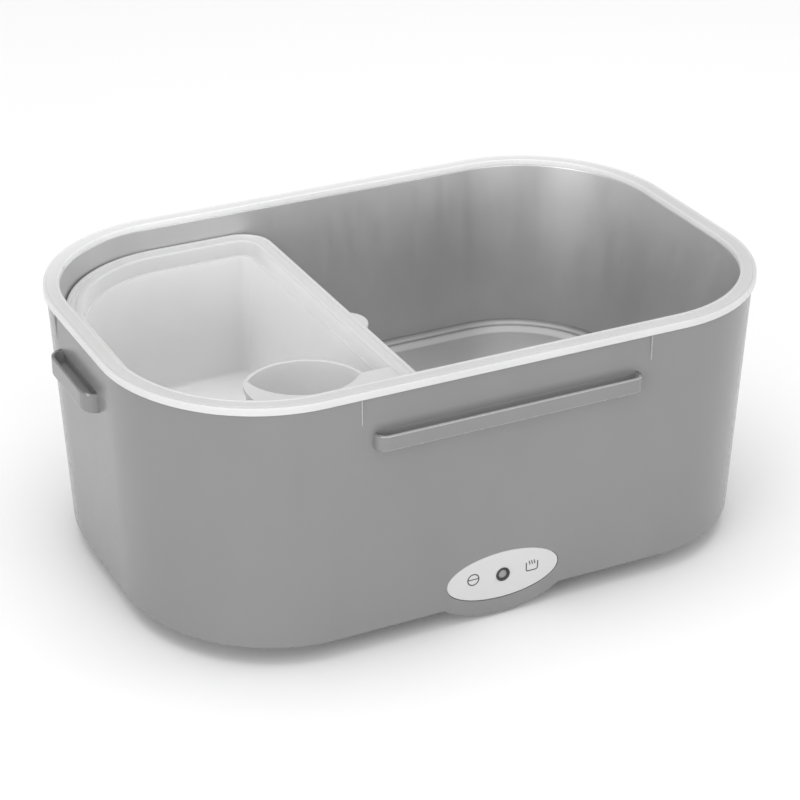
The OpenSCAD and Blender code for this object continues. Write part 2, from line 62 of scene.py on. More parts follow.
# ---------------------------------------------------------------------------
# outlines
# ---------------------------------------------------------------------------
def rr(l, w, rx, ry, n=N):
    out = []
    for q in range(4):
        sx = 1 if q in (0, 3) else -1
        sy = 1 if q < 2 else -1
        for i in range(n + 1):
            a = math.radians(90 * q + 90 * i / n)
            out.append((sx * (l / 2 - rx) + rx * math.cos(a), sy * (w / 2 - ry) + ry * math.sin(a)))
    return out


def dd(l, w, rx, ry, xr, r, n=N):
    out = []
    for q in range(4):
        sy = 1 if q < 2 else -1
        for i in range(n + 1):
            a = math.radians(90 * q + 90 * i / n)
            if q in (0, 3):
                out.append((xr - r + r * math.cos(a), sy * (w / 2 - r) + r * math.sin(a)))
            else:
                out.append((-l / 2 + rx + rx * math.cos(a), sy * (w / 2 - ry) + ry * math.sin(a)))
    return out


def body(z, d=0.0):
    k = z / BODY_H
    return rr(BOT_L + (TOP_L - BOT_L) * k - 2 * d, BOT_W + (TOP_W - BOT_W) * k - 2 * d,
              CX - 1.1 + 1.1 * k - d, CY - 0.4 + 0.4 * k - d)


TR_L, TR_W = RIM_L - 2 * BAND, RIM_W - 2 * BAND


def tray(z, d=0.0):
    k = (BODY_H + 0.9 - z) / (BODY_H + 0.9 - FLOOR_Z)
    return rr(TR_L - 7 * k - 2 * d, TR_W - 1.7 * k - 2 * d, CX - BAND + 0.6 * k - d, CY - BAND + 0.4 * k - d)


def rim(z, d=0.0):
    return rr(RIM_L - 2 * d, RIM_W - 2 * d, CX - d, CY - d)


def ins(z, d=0.0, rc=12.0):
    return dd(TR_L - 3 - 2 * d, TR_W - 2.6 - 2 * d, CX - BAND - 0.7 - d, CY - BAND - 0.8 - d,
              INSERT_X - d, max(rc - d, 0.8))


def ellipse(a, b, n=96):
    return [(a * math.cos(2 * math.pi * i / n), b * math.sin(2 * math.pi * i / n)) for i in range(n)]


def soft(points, closed=False, steps=4):
    """Rounds the corners of a profile: each point is (d, z) or (d, z, radius)."""
    p = [(q[0], q[1], q[2] if len(q) > 2 else 0.0) for q in points]
    out, m = [], len(p)
    for i, (x, y, r) in enumerate(p):
        if r <= 0 or (not closed and i in (0, m - 1)):
            out.append((x, y))
            continue
        a, b = p[i - 1], p[(i + 1) % m]
        u = np.array((a[0] - x, a[1] - y)); v = np.array((b[0] - x, b[1] - y))
        lu, lv = np.linalg.norm(u), np.linalg.norm(v)
        u, v = u / lu, v / lv
        half = math.acos(max(-1.0, min(1.0, float(u @ v)))) / 2
        t = min(r / math.tan(half), lu * 0.499, lv * 0.499)
        r = t * math.tan(half)
        c = np.array((x, y)) + (u + v) / np.linalg.norm(u + v) * (r / math.sin(half))
        s, e = np.array((x, y)) + u * t - c, np.array((x, y)) + v * t - c
        a0 = math.atan2(s[1], s[0])
        da = math.atan2(e[1], e[0]) - a0
        da = (da + math.pi) % (2 * math.pi) - math.pi
        n = max(2, int(round(steps * abs(da) / (math.pi / 2))) + 1)
        for k in range(n + 1):
            ang = a0 + da * k / n
            out.append((c[0] + r * math.cos(ang), c[1] + r * math.sin(ang)))
    return out


# ---------------------------------------------------------------------------
# mesh tools
# ---------------------------------------------------------------------------
def link(name, me):
    ob = bpy.data.objects.new(name, me)
    scene.collection.objects.link(ob)
    return ob


def from_lists(name, verts, faces, place=None):
    me = bpy.data.meshes.new(name)
    pts = [Vector(v) for v in verts]
    if place is not None:
        pts = [place @ v for v in pts]
    me.from_pydata([((v.x) * 0.001, (v.y) * 0.001, (v.z + STAND) * 0.001) for v in pts], [], faces)
    bm = bmesh.new()
    bm.from_mesh(me)
    bmesh.ops.remove_doubles(bm, verts=bm.verts, dist=1e-7)
    bmesh.ops.recalc_face_normals(bm, faces=bm.faces)
    bm.to_mesh(me)
    bm.free()
    me.validate()
    return link(name, me)


def sweep(name, rings, closed=False, place=None):
    """Skin over a stack of (outline, z); closed joins the last to the first, open is capped."""
    n, m = len(rings[0][0]), len(rings)
    verts = [(x, y, z) for o, z in rings for x, y in o]
    faces = []
    for k in range(m if closed else m - 1):
        a, b = k * n, ((k + 1) % m) * n
        for i in range(n):
            j = (i + 1) % n
            faces.append((a + i, a + j, b + j, b + i))
    if not closed:
        faces.append(tuple(range(n - 1, -1, -1)))
        faces.append(tuple((m - 1) * n + i for i in range(n)))
    return from_lists(name, verts, faces, place)


def skin(name, outline, profile, closed=False, place=None):
    return sweep(name, [(outline(z, d), z) for d, z in profile], closed, place)


def block(name, x, y, z, dx, dy, dz, place=None):
    o = [(x, y), (x + dx, y), (x + dx, y + dy), (x, y + dy)]
    return sweep(name, [(o, z), (o, z + dz)], place=place)


def round_pin(name, r, z0, z1, x=0.0, y=0.0, place=None, n=40, edge=0.0):
    prof = soft([(0.0, z0, 0), (r, z0, edge), (r, z1, edge), (0.0, z1, 0)])[1:-1]
    rings = [([(x + q * math.cos(2 * math.pi * i / n), y + q * math.sin(2 * math.pi * i / n)) for i in range(n)], z)
             for q, z in prof]
    return sweep(name, rings, place=place)


def boolean(ob, other, how, keep=False):
    mod = ob.modifiers.new("cut", "BOOLEAN")
    mod.operation, mod.object, mod.solver = how, other, "EXACT"
    dg = bpy.context.evaluated_depsgraph_get()
    me = bpy.data.meshes.new_from_object(ob.evaluated_get(dg), depsgraph=dg)
    ob.modifiers.remove(mod)
    old = ob.data
    ob.data = me
    bpy.data.meshes.remove(old)
    if not keep:
        gone = other.data
        bpy.data.objects.remove(other)
        bpy.data.meshes.remove(gone)
    return ob


def union(ob, *others):
    for o in others:
        boolean(ob, o, "UNION")
    return ob


def joined(name, parts):
    """One object from several closed ones that don't touch."""
    bm = bmesh.new()
    for p in parts:
        bm.from_mesh(p.data)
        gone = p.data
        bpy.data.objects.remove(p)
        bpy.data.meshes.remove(gone)
    me = bpy.data.meshes.new(name)
    bm.to_mesh(me)
    bm.free()
    return link(name, me)


def cut(ob, *others):
    for o in others:
        boolean(ob, o, "DIFFERENCE")
    return ob


def tidy(ob, angle=32.0):
    """Smooth faces, sharp edges over the angle, weighted normals."""
    me = ob.data
    bm = bmesh.new()
    bm.from_mesh(me)
    bmesh.ops.remove_doubles(bm, verts=bm.verts, dist=2e-6)
    bmesh.ops.dissolve_degenerate(bm, edges=bm.edges, dist=1e-6)
    loose = [v for v in bm.verts if not v.link_faces]
    bmesh.ops.delete(bm, geom=loose, context="VERTS")
    bm.to_mesh(me)
    bm.free()
    me.shade_smooth()
    me.set_sharp_from_angle(angle=math.radians(angle))
    mod = ob.modifiers.new("weighted", "WEIGHTED_NORMAL")
    mod.keep_sharp = True
    mod.weight = 60
    return ob


# the plane of the front wall: X along it, Y up it, Z out of it
FRONT = Matrix.Translation((0, -BOT_W / 2, 0)) @ Matrix.Rotation(math.radians(90) + LEAN, 4, "X")
MIRROR_Y = Matrix.Scale(-1, 4, (0, 1, 0))
BACK = MIRROR_Y @ FRONT


# ---------------------------------------------------------------------------
# materials
# ---------------------------------------------------------------------------
def srgb(v):
    v = v / 255.0
    return v / 12.92 if v <= 0.04045 else ((v + 0.055) / 1.055) ** 2.4


def grey(v, warm=0.0):
    return (srgb(v + warm), srgb(v), srgb(v - warm), 1.0)


class Mat:
    def __init__(self, name, color, rough, metal=0.0):
        self.m = bpy.data.materials.new(name)
        self.m.use_nodes = True
        self.t = self.m.node_tree
        self.t.nodes.clear()
        self.out = self.t.nodes.new("ShaderNodeOutputMaterial")
        self.b = self.t.nodes.new("ShaderNodeBsdfPrincipled")
        self.t.links.new(self.b.outputs["BSDF"], self.out.inputs["Surface"])
        self.b.inputs["Base Color"].default_value = color
        self.b.inputs["Roughness"].default_value = rough
        self.b.inputs["Metallic"].default_value = metal
        self.m.diffuse_color = color
        self.color, self.rough = color, rough
        self.co = self.t.nodes.new("ShaderNodeTexCoord")
        self.h = None

    def set(self, **kw):
        for k, v in kw.items():
            self.b.inputs[k.replace("_", " ")].default_value = v
        return self

    def noise(self, scale, detail=2.0, stretch=None, rough=0.5):
        n = self.t.nodes.new("ShaderNodeTexNoise")
        n.inputs["Scale"].default_value = scale
        n.inputs["Detail"].default_value = detail
        n.inputs["Roughness"].default_value = rough
        src = self.co.outputs["Object"]
        if stretch is not None:
            mp = self.t.nodes.new("ShaderNodeMapping")
            mp.inputs["Scale"].default_value = stretch
            self.t.links.new(src, mp.inputs["Vector"])
            src = mp.outputs["Vector"]
        self.t.links.new(src, n.inputs["Vector"])
        return n.outputs["Fac"]

    def span(self, src, lo, hi, f0=0.3, f1=0.7):
        r = self.t.nodes.new("ShaderNodeMapRange")
        r.inputs["From Min"].default_value = f0
        r.inputs["From Max"].default_value = f1
        r.inputs["To Min"].default_value = lo
        r.inputs["To Max"].default_value = hi
        self.t.links.new(src, r.inputs["Value"])
        return r.outputs["Result"]

    def tint(self, src, a, b, f0=0.3, f1=0.7):
        r = self.t.nodes.new("ShaderNodeMix")
        r.data_type = "RGBA"
        self.t.links.new(self.span(src, 0, 1, f0, f1), r.inputs[0])
        r.inputs[6].default_value = a
        r.inputs[7].default_value = b
        self.t.links.new(r.outputs[2], self.b.inputs["Base Color"])
        return self

    def by_axis(self, axis, p0, p1, color):
        """Blends the colour towards another one between two places along an axis of the object; each use here paints
        light or shade.
        """
        sep = self.t.nodes.new("ShaderNodeSeparateXYZ")
        self.t.links.new(self.co.outputs["Object"], sep.inputs["Vector"])
        r = self.t.nodes.new("ShaderNodeMix")
        r.data_type = "RGBA"
        self.t.links.new(self.span(sep.outputs[axis], 0, 1, p0, p1), r.inputs[0])
        self.t.links.new(self.b.inputs["Base Color"].links[0].from_socket, r.inputs[6])
        r.inputs[7].default_value = color
        self.t.links.new(r.outputs[2], self.b.inputs["Base Color"])
        return self

    def rough_by(self, src, lo, hi, f0=0.3, f1=0.7):
        self.t.links.new(self.span(src, lo, hi, f0, f1), self.b.inputs["Roughness"])
        return self

    def bump(self, src, distance, strength=1.0):
        n = self.t.nodes.new("ShaderNodeBump")
        n.inputs["Distance"].default_value = distance
        n.inputs["Strength"].default_value = strength
        self.t.links.new(src, n.inputs["Height"])
        if self.h is not None:
            self.t.links.new(self.h, n.inputs["Normal"])
        self.h = n.outputs["Normal"]
        self.t.links.new(self.h, self.b.inputs["Normal"])
        return self


def plastic(name, v, rough=0.42, warm=0.0, grain=1.0, spread=2.0):
    """Satin moulded plastic: fine spark-eroded grain, faint mottling and flow."""
    m = Mat(name, grey(v, warm), rough)
    fine = m.noise(5200, 2.0)
    flow = m.noise(26, 3.0, (1.0, 1.0, 0.45))
    m.tint(flow, grey(v - spread, warm), grey(v + spread, warm))
    m.rough_by(m.noise(420, 3.0), rough - 0.04, rough + 0.05)
    m.bump(flow, 0.00004, 0.25)
    m.bump(fine, 0.000018, 0.35 * grain)
    return m


def frosted(name, v, rough, sss, warm=0.0, top=None):
    """Translucent frosted polypropylene; top is a darker grey painted above a set height: painted shade on the flange
    top.
    """
    m = Mat(name, grey(v, warm), rough)
    m.set(Subsurface_Weight=sss, Subsurface_Scale=0.004, Subsurface_Radius=(1.0, 1.0, 1.0), IOR=1.49)
    haze = m.noise(34, 4.0)
    m.tint(haze, grey(v - 3, warm), grey(v + 2, warm))
    # painted shade: above this height the colour turns to the darker top grey
    if top is not None:
        m.by_axis("Z", 0.0855, 0.0861, grey(top, warm))
    m.rough_by(m.noise(300, 2.0), rough - 0.04, rough + 0.05)
    m.bump(haze, 0.00006, 0.3)
    m.bump(m.noise(3800, 1.0), 0.00001, 0.25)
    return m


def steel(name, v, rough, stretch=(1, 1, 1), scale=900, aniso=0.0):
    m = Mat(name, grey(v), rough, 1.0)
    m.set(Anisotropic=aniso)
    lines = m.noise(scale, 3.0, stretch, 0.6)
    cloud = m.noise(30, 3.0)
    m.tint(cloud, grey(v - 5), grey(v + 4))
    m.rough_by(lines, rough - 0.03, rough + 0.03)
    m.bump(lines, 0.00001, 0.15)
    return m


def simple(name, color, rough, metal=0.0, scale=1500, depth=0.00002, spread=0.06):
    m = Mat(name, color, rough, metal)
    n = m.noise(scale, 3.0)
    a = tuple(max(0.0, c * (1 - spread)) for c in color[:3]) + (1.0,)
    b = tuple(min(1.0, c * (1 + spread)) for c in color[:3]) + (1.0,)
    m.tint(m.noise(scale / 12, 2.0), a, b)
    m.rough_by(n, max(0.05, rough - 0.05), rough + 0.06)
    m.bump(n, depth, 0.4)
    return m


def rgb(r, g, b):
    return (srgb(r), srgb(g), srgb(b), 1.0)


M = {
    "body": plastic("shell_gloss_plastic", 125, 0.22),
    # painted highlight: a lighter copy of the shell plastic for the lips of the front ledges and the landing beads
    "edge": plastic("shell_edge_painted_highlight", 160, 0.25),
    # painted highlight: a lighter copy of the shell plastic for the lower roundings of the front ledges
    "edge_low": plastic("shell_lower_edge_painted_highlight", 138, 0.25),
    # painted light: a lighter copy of the shell plastic inside the catch channels, set for the tone of the recess
    "channel": plastic("shell_channel_painted_light", 168, 0.45),
    "well": plastic("well_moulded_plastic", 158, 0.5),
    # painted light: the tray steel turns lighter towards its right end
    "tray": steel("tray_satin_steel_painted_light", 202, 0.44, (1, 1, 0.1), 260, 0.2).by_axis("X", 0.1, 0.11, grey(224)),
    # painted light: the floor bead's own copy of the tray steel, toned for its brightness
    "tray_bead": steel("tray_bead_painted_light", 199, 0.44, (1, 1, 0.1), 260, 0.2),
    # painted shade: a darker copy of the tray steel on the wall-to-floor rounding, dimming its reflection
    "tray_corner": steel("tray_corner_painted_shade", 158, 0.44, (1, 1, 0.1), 260, 0.2),
    # painted light: the rim plastic turns lighter towards the back
    "rim": frosted("rim_frosted_painted_light", 203, 0.34, 0.25).by_axis("Y", 0.02, 0.074, grey(228)),
    # painted shade: the insert's flange top is painted a darker grey
    "insert": frosted("insert_frosted_painted_shade", 240, 0.34, 0.4, top=208),
    # painted light: a lighter copy of the rim plastic on its inward faces
    "rim_inner": frosted("rim_inner_painted_light", 240, 0.3, 0.25),
    # painted shade: a darker copy of the insert plastic on the ledge
    "insert_ledge": frosted("insert_ledge_painted_shade", 214, 0.34, 0.4),
    # painted shade: the step faces, darker towards the back
    "insert_step": frosted("insert_step_painted_shade", 238, 0.34, 0.4).by_axis("Y", 0.04, 0.066, grey(214)),
    # painted shade: the pocket plastic is darker than the insert, and darker still on its top
    "scoop": frosted("scoop_frosted_painted_shade", 217, 0.34, 0.4, top=210),
    "plate": plastic("plate_light_plastic", 195, 0.35, grain=0.4, spread=1.0),
    "ink": simple("mark_ink", rgb(66, 66, 66), 0.6, scale=3000, depth=0.000004),
    "bezel": plastic("bezel_dark_plastic", 44, 0.35, spread=1.0),
    "lens": frosted("lens_diffuse_plastic", 138, 0.3, 0.1),
    "base": plastic("base_dark_plastic", 62, 0.55),
    "rubber": simple("foot_black_rubber", rgb(38, 38, 38), 0.75, scale=2200, depth=0.00005),
    "black": plastic("inlet_black_plastic", 30, 0.45, spread=1.0),
    "brass": simple("contact_brass", rgb(214, 186, 118), 0.28, 1.0, 2500, 0.000008),
    "zinc": simple("zinc_plated_steel", rgb(186, 186, 180), 0.34, 1.0, 2500, 0.00001),
    "plate_alu": steel("heating_plate_aluminium", 200, 0.42, (0.05, 1, 1), 1200),
    "heater": steel("heater_case_aluminium", 196, 0.4, (1, 0.05, 1), 1400),
    "silicone": simple("gasket_red_silicone", rgb(178, 66, 48), 0.6, scale=1800, depth=0.00003),
    "mica": simple("mica_insulation", rgb(196, 178, 136), 0.5, scale=700, depth=0.00003, spread=0.12),
    "spring": steel("clamp_spring_steel", 168, 0.38, (0.04, 1, 1), 1300),
    "phenolic": simple("thermostat_phenolic", rgb(58, 50, 46), 0.5, scale=1400),
    "sleeve": simple("glass_fibre_sleeve", rgb(222, 214, 198), 0.8, scale=3200, depth=0.00006),
    "fuse": simple("fuse_tinned_case", rgb(190, 190, 184), 0.3, 1.0, 2500, 0.000008),
    "led": simple("led_tinted_epoxy", rgb(206, 92, 78), 0.2, scale=900, depth=0.000004),
    "board": simple("board_green_laminate", rgb(52, 104, 66), 0.4, scale=2600),
    "resistor": simple("resistor_tan_coating", rgb(184, 160, 118), 0.45, scale=2000),
    "brown": simple("wire_brown_jacket", rgb(112, 74, 48), 0.45, scale=1600),
    "blue": simple("wire_blue_jacket", rgb(58, 92, 156), 0.45, scale=1600),
    "white": simple("wire_white_jacket", rgb(222, 220, 212), 0.5, scale=1600),
    "red": simple("wire_red_jacket", rgb(188, 48, 44), 0.45, scale=1600),
}

KEPT = {
    "plate_gasket": "silicone", "heating_plate": "plate_alu", "plate_nuts": "zinc",
    "ptc_heater_left": "heater", "ptc_heater_right": "heater", "mica_sheet": "mica",
    "heater_clamp": "spring", "clamp_screw": "zinc", "thermostat": "phenolic", "thermostat_screws": "zinc",
    "fuse_sleeve": "sleeve", "thermal_fuse": "fuse", "inlet_socket": "black", "inlet_pins": "brass",
    "inlet_screws": "zinc", "indicator_led": "led", "led_board": "board", "dropper_resistor": "resistor",
    "live_wire": "brown", "neutral_wire": "blue", "link_wire": "white", "indicator_leads": "red",
    "base_cover": "base", "base_screws": "zinc", "rubber_feet": "rubber",
}


def dress(ob, key):
    me = ob.data
    if not me.materials:
        me.materials.append(M[key].m)
    for i in range(len(me.materials)):
        me.materials[i] = M[key].m


# ---------------------------------------------------------------------------
# housing shell
# ---------------------------------------------------------------------------
def bar_outline(d, back):
    """Front ledge in plan: straight at the wall, rounded at its outer corners."""
    front = -(BOT_W / 2 + 71.1 * SIDE_D / BODY_H + 4.2)
    x, y, r = 48.5 - d, front + d, max(4.0 - d, 0.6)
    back -= 0.02 * d
    out = [(x, back), (-x, back)]
    for i in range(9):
        a = math.radians(180 + 90 * i / 8)
        out.append((-x + r + r * math.cos(a), y + r + r * math.sin(a)))
    for i in range(9):
        a = math.radians(270 + 90 * i / 8)
        out.append((x - r + r * math.cos(a), y + r + r * math.sin(a)))
    return out


def bar(name, place=None):
    prof = soft([(2.2, 68.4), (0, 68.4, 0.55), (0, 73.8, 0.5), (2.2, 73.8)], steps=5)
    return sweep(name, [(bar_outline(d, -77.3), z) for d, z in prof], place=place)


def bar_channel(place=None):
    """Catch channel behind the lip, cut a little into the wall."""
    prof = soft([(1.9, 70.0), (1.1, 70.0, 0.35), (1.1, 73.5), (0.8, 73.92), (0.8, 74.3)], steps=4)
    return sweep("channel", [(bar_outline(d, -76.97), z) for d, z in prof], place=place)


HOOK_WALL = BOT_L / 2 + 70 * END_D / BODY_H


def hook_outline(d, s, clip):
    o = rr(2 * (10.599 - d), 37.6 - 2 * d, 4.6 - d, 6 - d, 10)
    return [(s * max(x + HOOK_WALL - 6, clip + 0.02 * d), y + 4.6) for x, y in o]


def end_hook(name, s):
    prof = soft([(2.4, 66.2), (0, 66.2, 1.1), (0, 73.2, 0.5), (2.4, 73.2)], steps=5)
    return sweep(name, [(hook_outline(d, s, HOOK_WALL - 1.0), z) for d, z in prof])


def hook_channel(s):
    prof = soft([(2.0, 68.4), (1.1, 68.4, 0.4), (1.1, 72.9), (0.8, 73.32), (0.8, 73.8)], steps=4)
    return sweep("channel", [(hook_outline(d, s, HOOK_WALL - 1.3), z) for d, z in prof])


def wedge(name, half, h, place):
    """Shallow landing cutter whose side faces slant, so that its edges catch the light."""
    deep = [(-half, 0.0), (half, 0.0), (half + 2.5, -5.0), (-half - 2.5, -5.0)]
    return sweep(name, [(deep, 0.0), (deep, h)], place=place)


def landing(s_end=None, s_side=None):
    if s_side is not None:
        m = Matrix.Translation((0, -(BOT_W / 2 + 77 * SIDE_D / BODY_H), 77)) @ Matrix.Rotation(math.radians(-2.6) + LEAN, 4, "X")
        if s_side:
            m = MIRROR_Y @ m
        return wedge("landing", 52.3, 12, m)
    m = (Matrix.Translation((s_end * (BOT_L / 2 + 74.5 * END_D / BODY_H), 0, 74.5))
         @ Matrix.Rotation(s_end * (LEAN_E - math.radians(3.2)), 4, "Y") @ Matrix.Rotation(math.radians(90 * s_end), 4, "Z"))
    return wedge("landing", 24.7, 14, m)


def landing_bead(x, place=None):
    """Fine raised line down the edge of a landing."""
    pts, n = [], 10
    for i in range(n + 1):
        a = math.pi * i / n
        pts.append((0.22 * math.cos(a), 0.18 * math.sin(a)))
    pts += [(-0.22, -0.6), (0.22, -0.6)]
    rings = []
    for k in range(7):
        z = 77.2 + 9.2 * k / 6
        lift = -0.17 if k == 0 else 0.0
        y0 = -(BOT_W / 2 + z * SIDE_D / BODY_H)
        rings.append(([(x + 0.5 * (1 - z / BODY_H) + px, y0 - py - lift) for px, py in pts], z))
    return sweep("bead", rings, place=place)


def in_channel(c):
    """Whether a point in millimetres lies inside one of the catch channels."""
    z = c.z - STAND
    if 69.9 < z < 74.36 and abs(c.x) < 47.55 and 76.8 < abs(c.y) < 81.42:
        return True
    return 68.3 < z < 73.86 and 114.5 < abs(c.x) < 119.5 and abs(c.y - 4.6) < 17.75


def make_beads():
    parts = [landing_bead(x, place) for x in (-52.3, 52.3) for place in (None, MIRROR_Y)]
    return joined("landing_beads", parts)


def wall_field(q):
    """Signed distance from the drafted outer wall, in millimetres, for points in rows."""
    k = q[:, 2] / BODY_H
    a, b = (BOT_L + (TOP_L - BOT_L) * k) / 2, (BOT_W + (TOP_W - BOT_W) * k) / 2
    rx, ry = CX - 1.1 + 1.1 * k, CY - 0.4 + 0.4 * k
    qx, qy = np.abs(q[:, 0]) - (a - rx), np.abs(q[:, 1]) - (b - ry)
    u, v = np.maximum(qx, 0) / rx, np.maximum(qy, 0) / ry
    f = np.maximum(np.hypot(u, v), 1e-6)
    scale = np.hypot(u / f * rx, v / f * ry)
    return np.where((qx > 0) | (qy > 0), (f - 1) * scale, -10.0)


def wall_normal(q, h=0.02):
    g = np.stack([(wall_field(q + h * e) - wall_field(q - h * e)) / (2 * h) for e in np.eye(3)], axis=1)
    return g / np.maximum(np.linalg.norm(g, axis=1, keepdims=True), 1e-9)


def true_wall(ob):
    """Bakes the normals: exact ones on the drafted wall, flat ones on the landings."""
    dg = bpy.context.evaluated_depsgraph_get()
    me = bpy.data.meshes.new_from_object(ob.evaluated_get(dg), depsgraph=dg)
    ob.modifiers.clear()
    old = ob.data
    ob.data = me
    bpy.data.meshes.remove(old)
    nv, nl, nf = len(me.vertices), len(me.loops), len(me.polygons)
    co, cn = np.empty(nv * 3), np.empty(nl * 3)
    fc, fn = np.empty(nf * 3), np.empty(nf * 3)
    vi, ls, lt = np.empty(nl, int), np.empty(nf, int), np.empty(nf, int)
    me.vertices.foreach_get("co", co)
    me.corner_normals.foreach_get("vector", cn)
    me.polygons.foreach_get("center", fc)
    me.polygons.foreach_get("normal", fn)
    me.loops.foreach_get("vertex_index", vi)
    me.polygons.foreach_get("loop_start", ls)
    me.polygons.foreach_get("loop_total", lt)
    off = np.array((0, 0, STAND))
    q, c = co.reshape(-1, 3) * 1000 - off, fc.reshape(-1, 3) * 1000 - off
    cn, fn = cn.reshape(-1, 3), fn.reshape(-1, 3)
    face = np.repeat(np.arange(nf), lt)
    d, dc = np.abs(wall_field(q)), wall_field(c)
    near = np.zeros(nf)
    np.maximum.at(near, face, d[vi])
    lean = np.sum(fn * wall_normal(c), axis=1)
    wall = (near < 0.02) & (lean > 0.97)
    flat = ~wall & (dc < 0.02) & (dc > -1.3) & (lean > 0.985) & (c[:, 2] > 70)
    cn = np.where(wall[face][:, None], wall_normal(q)[vi], cn)
    cn = np.where(flat[face][:, None], fn[face], cn)
    me.normals_split_custom_set(cn.tolist())
    return ob


def on_edge(c, n):
    """Material slot of a painted highlight along a front ledge: slot 2 on the top of its lip, slot 3 on its lower
    rounding.
    """
    z = c.z - STAND
    if abs(c.x) < 49 and 73.3 < z < 73.95 and abs(c.y) > 81.2 and n.z > 0.3:
        return 2
    if abs(c.x) < 49 and z < 68.95 and z > 68 and abs(c.y) > 81.2 and -0.9 < n.z < -0.1:
        return 3
    return 0


def make_shell():
    prof = soft([(0.0, 0.0, 0.7), (0.0, BODY_H, 0.45), (1.4, BODY_H, 0.25), (1.4, BODY_H - 1.5, 0),
                 (2.0, BODY_H - 1.5, 0), (2.0, 0.0, 0.4)], closed=True, steps=4)
    # extra levels keep the long faces of the wall near square
    full = []
    for i, p in enumerate(prof):
        full.append(p)
        q = prof[(i + 1) % len(prof)]
        if abs(q[1] - p[1]) > 40:
            for k in range(1, 4):
                full.append((p[0] + (q[0] - p[0]) * k / 4, p[1] + (q[1] - p[1]) * k / 4))
    ob = skin("shell_moulded", body, full, closed=True)
    union(ob, bar("bar_f"), bar("bar_b", MIRROR_Y), end_hook("hook_r", 1), end_hook("hook_l", -1))
    # tongue with its softened edge
    at = FRONT @ Matrix.Translation((LED_X, PLATE_Z, -10.5))
    a, b = 27.0, 14.9
    tp = soft([(3.0, 0.0), (0.0, 0.0, 0.6), (0.0, 10.5, 0.8), (3.0, 10.5)], steps=5)
    tongue = sweep("tongue", [(ellipse(a - d, b - d), z) for d, z in tp], place=at)
    boolean(tongue, block("clip", -60, -120, -20, 120, 80, 40.2), "INTERSECT")
    union(ob, tongue)
    for x, y in POSTS:
        union(ob, round_pin("post", 4.0, 2.6, 18.6, x, y, edge=0.4))
    for s in (-1, 1):
        union(ob, round_pin("pad", 3.2, -8.0, -1.0, s * 16, 11.4, place=BACK))
    cuts = [landing(s_side=0), landing(s_side=1), landing(s_end=1), landing(s_end=-1),
            bar_channel(), bar_channel(MIRROR_Y), hook_channel(1), hook_channel(-1)]
    cuts.append(sweep("seat", [(ellipse(21.05, 8.95), 0), (ellipse(21.05, 8.95), 3)],
                      place=FRONT @ Matrix.Translation((LED_X, PLATE_Z, -1.1))))
    cuts.append(round_pin("bore", 2.45, -12, 2, LED_X, PLATE_Z, place=FRONT))
    cuts.append(block("room", LED_X - 13, PLATE_Z - 5, -11, 26, 10, 6.5, FRONT))
    cuts.append(block("mouth", -11.5, 11.4 - 7, -6, 23, 14, 8, BACK))
    for x, y in POSTS:
        cuts.append(round_pin("pilot", 1.3, 2, 15, x, y))
    for s in (-1, 1):
        cuts.append(round_pin("pilot", 1.2, -8.5, -2.5, s * 16, 11.4, place=BACK))
    cut(ob, *cuts)
    true_wall(tidy(ob, 30))
    dress(ob, "body")
    # painted light: the catch channels take a lighter copy of the shell plastic (slot 1), and the ledge lips and lower
    # roundings take lighter copies as painted highlights (slots 2, 3)
    ob.data.materials.append(M["channel"].m)
    ob.data.materials.append(M["edge"].m)
    ob.data.materials.append(M["edge_low"].m)
    for f in ob.data.polygons:
        c = f.center * 1000
        if all(in_channel(ob.data.vertices[v].co * 1000) for v in f.vertices):
            f.material_index = 1
        else:
            f.material_index = on_edge(c, f.normal)
    return ob


# ---------------------------------------------------------------------------
# inner well, steel tray, tray rim
# ---------------------------------------------------------------------------
def make_well():
    rings = []
    hole = rr(140, 76, 12, 12)

    def at(z, d, h=None):
        rings.append((body(z if h is None else h, d), z))
    rings.append((hole, WELL_FLOOR - FLOOR_T))
    at(20.4, 6.0)
    at(20.4, 2.9); at(20.6, 2.5); at(21.0, 2.35)
    at(BODY_H - 1.5, 2.35)
    at(BODY_H - 1.49, 1.45, BODY_H)
    at(BODY_H - 0.15, 1.45, BODY_H); at(BODY_H, 1.6, BODY_H)
    at(BODY_H, 3.2, BODY_H); at(BODY_H - 0.1, 3.45, BODY_H); at(BODY_H - 0.4, 3.55, BODY_H)
    for k in range(7):
        a = math.radians(90 * k / 6)
        at(WELL_FLOOR + 2.5 - 2.5 * math.sin(a), 3.55 + 2.5 - 2.5 * math.cos(a), WELL_FLOOR)
    rings.append((rr(141, 77, 12.5, 12.5), WELL_FLOOR))
    rings.append((hole, WELL_FLOOR - 0.3))
    ob = sweep("well_moulded", rings, closed=True)
    for x, y in STUDS:
        cut(ob, round_pin("s", 2.2, 15, 25, x, y))
    return tidy(ob, 35)


